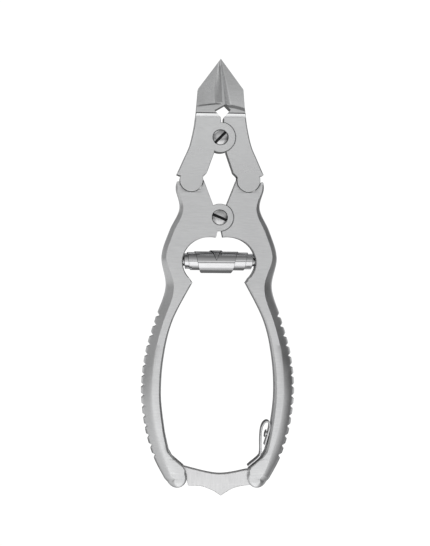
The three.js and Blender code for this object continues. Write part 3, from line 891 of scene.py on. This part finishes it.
def shade_faces(piece, *tests, shade_steel=gap_shade):
    """Painted shade: a darker steel on some faces, where shade falls; each test takes face centres in
    millimetres from the pivot.
    """
    piece.data.materials.append(shade_steel)
    count = len(piece.data.polygons)
    centres = np.empty(count * 3)
    piece.data.polygons.foreach_get("center", centres)
    x, y, z = ((centres.reshape(-1, 3) - PIVOT) / MM).T
    dark = np.zeros(count, bool)
    for test in tests:
        dark |= test(x, y, z)
    piece.data.polygons.foreach_set("material_index", dark.astype(np.int32))


def gap_round(at_x, at_z, radius, width=SEAM, lowest=-1.1):
    """The walls of a round seam, below the small chamfers and above the open underside."""
    def test(x, y, z):
        r = np.hypot(x - at_x, z - at_z)
        inside = (abs(y) < BACK - EDGE_BREAK) & (z > at_z + lowest * radius)
        return inside & (r > radius - 0.03) & (r < radius + width + 0.03)
    return test


def slot_walls(name, at_z):
    """The walls and the floor of a screw's slot."""
    angle = math.radians(SCREW_TURN[name])
    reach = SCREW_SLOT / 2 + 0.02
    return lambda x, y, z: abs((z - at_z) * math.cos(angle) - x * math.sin(angle)) < reach


def under_lip(x, y, z):
    """The corner where the land of the blades meets the lip, which gets painted shade."""
    return (y < 0) & (z > BLADE_FOOT) & (z < BLADE_FOOT + 0.3)


paint(satin, handle_left, handle_right)
paint(ground, *jaws)
paint(turned_steel, *screws, *studs, *pins, rivet)
paint(wound, spring, leaf)
paint(bar_steel, bar)

LAP_SEAM_END = -0.75  # the lap seams stay bright at the bottom, where they open downwards
handle_seam = gap_round(0, 0, HANDLE_BOSS_R, lowest=LAP_SEAM_END)
jaw_seam = gap_round(0, JAW_PIVOT, JAW_BOSS_R, lowest=LAP_SEAM_END)
screw_gaps = [gap_round(0, z, SCREW_R, 0.2) for z in (0, JAW_PIVOT)]
sockets = [gap_round(side * KNOB_X, KNOB_Z, KNOB_R) for side in (-1, 1)]
# painted shade on the walls of the lap seams, screw gaps and sockets, on the corner under the lip, and
# in the screw slots
for piece in (handle_left, handle_right):
    shade_faces(piece, handle_seam, screw_gaps[0], *sockets)
for piece in jaws:
    shade_faces(piece, jaw_seam, screw_gaps[1], *sockets, under_lip)
for piece, gap, z in zip(screws, screw_gaps, (0, JAW_PIVOT)):
    shade_faces(piece, gap, slot_walls(piece.name, z))
# painted shade along the spring sheet's edges, where the gaps between the turns fall dark
shaded_sheet_edges = np.array([abs(face.normal.x) > 0.5 for face in spring.data.polygons])
shade_faces(spring, lambda x, y, z: shaded_sheet_edges, shade_steel=spring_edge_shade)

# ---- studio ---------------------------------------------------------------------------------

FLOOR_DIM = 0.1  # glow of the card in the steel, from 1 to the camera
SOFTBOX_SIZE = 0.5
BACKDROP = 1.05  # brightness to the camera, just past white


def floor():
    """A strip of pale card from the tool's back edge on: white to the camera, dim in the steel."""
    mesh = bpy.data.meshes.new("floor")
    side, near, far = 0.1, 0.005, 0.3
    corners = [(-side, near, 0), (side, near, 0), (side, far, 0), (-side, far, 0)]
    mesh.from_pydata(corners, [], [range(4)])
    piece = bpy.data.objects.new("floor", mesh)
    bpy.context.collection.objects.link(piece)
    material = bpy.data.materials.new("floor")
    material.use_nodes = True
    tree = material.node_tree
    shader = tree.nodes["Principled BSDF"]
    shader.inputs["Base Color"].default_value = (0.25, 0.25, 0.25, 1)
    shader.inputs["Roughness"].default_value = 0.9
    shader.inputs["Specular IOR Level"].default_value = 0.0
    shader.inputs["Emission Color"].default_value = (1, 1, 1, 1)
    seen = tree.nodes.new("ShaderNodeLightPath").outputs["Is Camera Ray"]
    glow = ranged(tree, seen, (0.0, 1.0), (FLOOR_DIM, 1.0))
    tree.links.new(glow, shader.inputs["Emission Strength"])
    mesh.materials.append(material)


def softbox(name, place, target, power):
    light = bpy.data.lights.new(name, "AREA")
    light.shape = "RECTANGLE"
    light.size = light.size_y = SOFTBOX_SIZE
    light.energy = power
    piece = bpy.data.objects.new(name, light)
    piece.location = place
    piece.rotation_euler = (Vector(target) - Vector(place)).to_track_quat("-Z", "Y").to_euler()
    bpy.context.collection.objects.link(piece)


# brightness of the tent from left (-1) to right (1), and from straight down to straight up
TENT_ACROSS = [
    (-1.0, 0.50), (-0.38, 0.5), (-0.2, 1.15), (-0.08, 1.06), (0.02, 1.0), (0.14, 0.86), (0.24, 1.05),
    (0.32, 0.95), (0.42, 0.45), (0.6, 0.3), (0.8, 0.12), (1.0, 0.12),
]
TENT_UP = [
    (-1.0, 0.8), (-0.93, 0.9), (-0.86, 1.5), (-0.75, 1.7), (-0.3, 1.75), (-0.16, 1.7), (-0.11, 0.5),
    (0.02, 0.5), (0.07, 1.15), (0.2, 1.2), (0.3, 0.64), (0.5, 0.58), (0.62, 0.52), (0.8, 0.33),
    (1.0, 0.26),
]
# brightness behind the tool, again from straight down to straight up. It takes over from the tent
# between two Y directions, and dims between two more, towards straight back
BEHIND_UP = [(-1.0, 0.4), (-0.75, 0.35), (-0.4, 0.9), (0.0, 0.95), (0.4, 0.8), (0.8, 0.4), (1.0, 0.35)]
BEHIND_FROM = (-0.2, 0.25)
STRAIGHT_BACK = (0.78, 0.96)
STRAIGHT_BACK_LEVEL = 0.15


def graded(tree, value, stops):
    """A brightness that follows the stops, given from -1 to 1."""
    ramp = tree.nodes.new("ShaderNodeValToRGB")
    ramp.color_ramp.interpolation = "LINEAR"
    elements = ramp.color_ramp.elements
    while len(elements) < len(stops):
        elements.new(0.5)
    for element, (position, level) in zip(elements, stops):
        element.position = (position + 1) / 2
        element.color = (level, level, level, 1)
    tree.links.new(ranged(tree, value, (-1, 1)), ramp.inputs["Fac"])
    return ramp.outputs["Color"]


def product(tree, one, other):
    node = tree.nodes.new("ShaderNodeMath")
    node.operation = "MULTIPLY"
    tree.links.new(one, node.inputs[0])
    tree.links.new(other, node.inputs[1])
    return node.outputs["Value"]


def studio_world():
    """Plain white for the eye; a soft tent for the steel, dimmer at the sides."""
    world = bpy.data.worlds.new("studio")
    bpy.context.scene.world = world
    world.use_nodes = True
    tree = world.node_tree
    nodes, links = tree.nodes, tree.links
    nodes.clear()
    out = nodes.new("ShaderNodeOutputWorld")
    seen = nodes.new("ShaderNodeBackground")
    seen.inputs["Color"].default_value = (1, 1, 1, 1)
    seen.inputs["Strength"].default_value = BACKDROP
    tent = nodes.new("ShaderNodeBackground")
    path = nodes.new("ShaderNodeLightPath")
    mix = nodes.new("ShaderNodeMixShader")
    where = nodes.new("ShaderNodeTexCoord")
    split = nodes.new("ShaderNodeSeparateXYZ")
    links.new(where.outputs["Generated"], split.inputs["Vector"])
    across, back, up = split.outputs
    front = product(tree, graded(tree, across, TENT_ACROSS), graded(tree, up, TENT_UP))
    behind = ranged(tree, back, BEHIND_FROM, smooth=True)
    straight_back = ranged(tree, back, STRAIGHT_BACK, (1.0, STRAIGHT_BACK_LEVEL), smooth=True)
    rear = product(tree, graded(tree, up, BEHIND_UP), straight_back)
    level = nodes.new("ShaderNodeMix")
    links.new(behind, level.inputs["Factor"])
    links.new(front, level.inputs["A"])
    links.new(rear, level.inputs["B"])
    links.new(level.outputs["Result"], tent.inputs["Strength"])
    links.new(path.outputs["Is Camera Ray"], mix.inputs["Fac"])
    links.new(tent.outputs["Background"], mix.inputs[1])
    links.new(seen.outputs["Background"], mix.inputs[2])
    links.new(mix.outputs["Shader"], out.inputs["Surface"])


studio_world()
floor()
centre = (cad_box[0] + cad_box[1]) / 2
softbox("key", (-0.45, -0.5, 0.75), centre, 0.6)
softbox("fill", (0.55, -0.6, 0.5), centre, 0.4)

# ---- camera ---------------------------------------------------------------------------------

AZIMUTH = -3.0
ELEVATION = 1.0
ROLL = 0.55
DISTANCE = 0.420
AIM = (-0.0013, 0, 0.0784)
LONG_SIDE = 0.1923  # height of the picture where the camera aims
SENSOR = 36  # long side of the sensor, in millimetres

camera = bpy.data.objects.new("camera", bpy.data.cameras.new("camera"))
bpy.context.collection.objects.link(camera)
a, e = math.radians(AZIMUTH), math.radians(ELEVATION)
away = Vector((math.sin(a) * math.cos(e), -math.cos(a) * math.cos(e), math.sin(e)))
camera.location = Vector(AIM) + away * DISTANCE
roll = Matrix.Rotation(math.radians(ROLL), 3, "Z").to_quaternion()
camera.rotation_euler = ((-away).to_track_quat("-Z", "Y") @ roll).to_euler()
camera.data.sensor_width = SENSOR
camera.data.lens = SENSOR * DISTANCE / LONG_SIDE
camera.data.clip_start = 0.01
bpy.context.scene.camera = camera
bpy.context.scene.view_settings.view_transform = "Standard"
